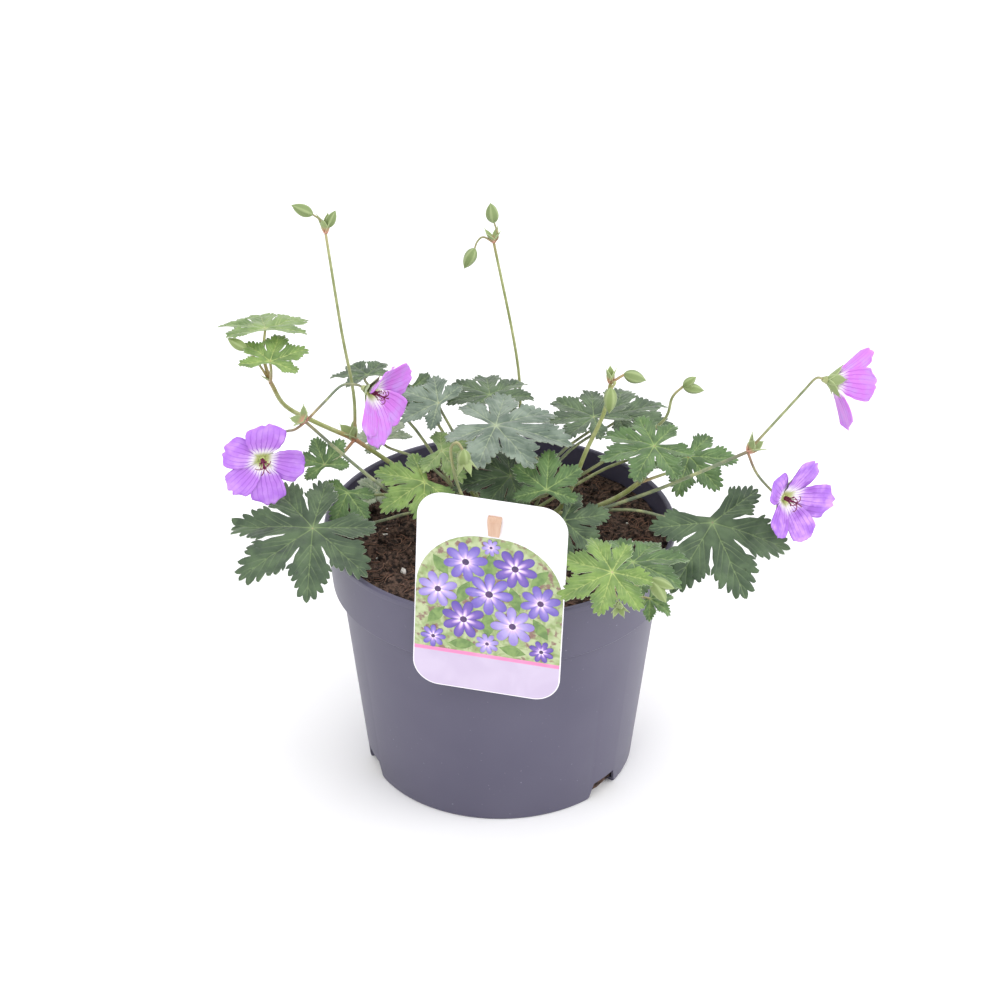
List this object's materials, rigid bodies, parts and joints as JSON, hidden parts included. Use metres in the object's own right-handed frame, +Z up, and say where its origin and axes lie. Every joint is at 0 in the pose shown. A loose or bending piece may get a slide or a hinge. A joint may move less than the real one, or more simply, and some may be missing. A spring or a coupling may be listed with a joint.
{
  "type": "potted hardy geranium",
  "caption": "Hardy geranium with cut palmate leaves, violet five-petalled blooms and buds on thin stems, in a round nursery pot of soil with a picture card on a peg.",
  "frame": {"origin": "centre of the pot's flat base", "axes": "+Z up through the plant, -Y towards the side with the label"},
  "size_m": [0.3082, 0.2099, 0.2822],
  "materials": {
    "pot_plastic": "satin",
    "soil": "matte",
    "label_card": "satin",
    "peg_wood": "matte",
    "leaf": "satin",
    "stem": "satin",
    "petal": "matte",
    "column": "satin"
  },
  "bodies": {
    "root": {"bloom_far_column": "column", "bloom_far_petals": "petal", "bloom_left_column": "column", "bloom_left_petals": "petal", "bloom_right_column": "column", "bloom_right_petals": "petal", "bloom_upper_column": "column", "bloom_upper_petals": "petal", "label": "label_card", "label_peg": "peg_wood", "leaf_back": "leaf", "leaf_back_centre": "leaf", "leaf_back_left": "leaf", "leaf_back_low": "leaf", "leaf_back_right": "leaf", "leaf_centre_front": "leaf", "leaf_centre_high": "leaf", "leaf_centre_low": "leaf", "leaf_centre_under": "leaf", "leaf_far_centre": "leaf", "leaf_far_left": "leaf", "leaf_front_left": "leaf", "leaf_front_right": "leaf", "leaf_left_high": "leaf", "leaf_left_low": "leaf", "leaf_left_under": "leaf", "leaf_old_low": "leaf", "leaf_right": "leaf", "leaf_right_high": "leaf", "pot": "pot_plastic", "soil": "soil", "stem_back_right_buds": "stem", "stem_centre_buds": "stem", "stem_far_left": "stem", "stem_front_shoot": "stem", "stem_left_flowers": "stem", "stem_middle_buds": "stem", "stem_nodding_bud": "stem", "stem_right_flowers": "stem", "stem_right_leafy": "stem"}
  },
  "joints": []
}
